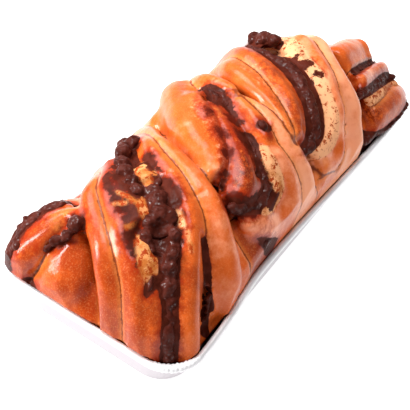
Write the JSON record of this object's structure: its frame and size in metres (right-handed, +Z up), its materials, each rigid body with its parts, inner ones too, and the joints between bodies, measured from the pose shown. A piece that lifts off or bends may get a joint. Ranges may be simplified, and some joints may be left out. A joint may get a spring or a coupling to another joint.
{
  "type": "braided loaf in a foil tray",
  "caption": "Braided sweet loaf with an open chocolate filling, in the shallow round-cornered foil tray it was baked in.",
  "frame": {"origin": "middle of the flat underside of the tray", "axes": "+X along the loaf from its near, lower end to its far end, +Y across it, +Z up"},
  "size_m": [0.264, 0.1138, 0.0809],
  "materials": {
    "crust": "satin",
    "foil": "satin"
  },
  "bodies": {
    "root": {"foil_tray": "foil", "loaf": "crust"}
  },
  "joints": []
}
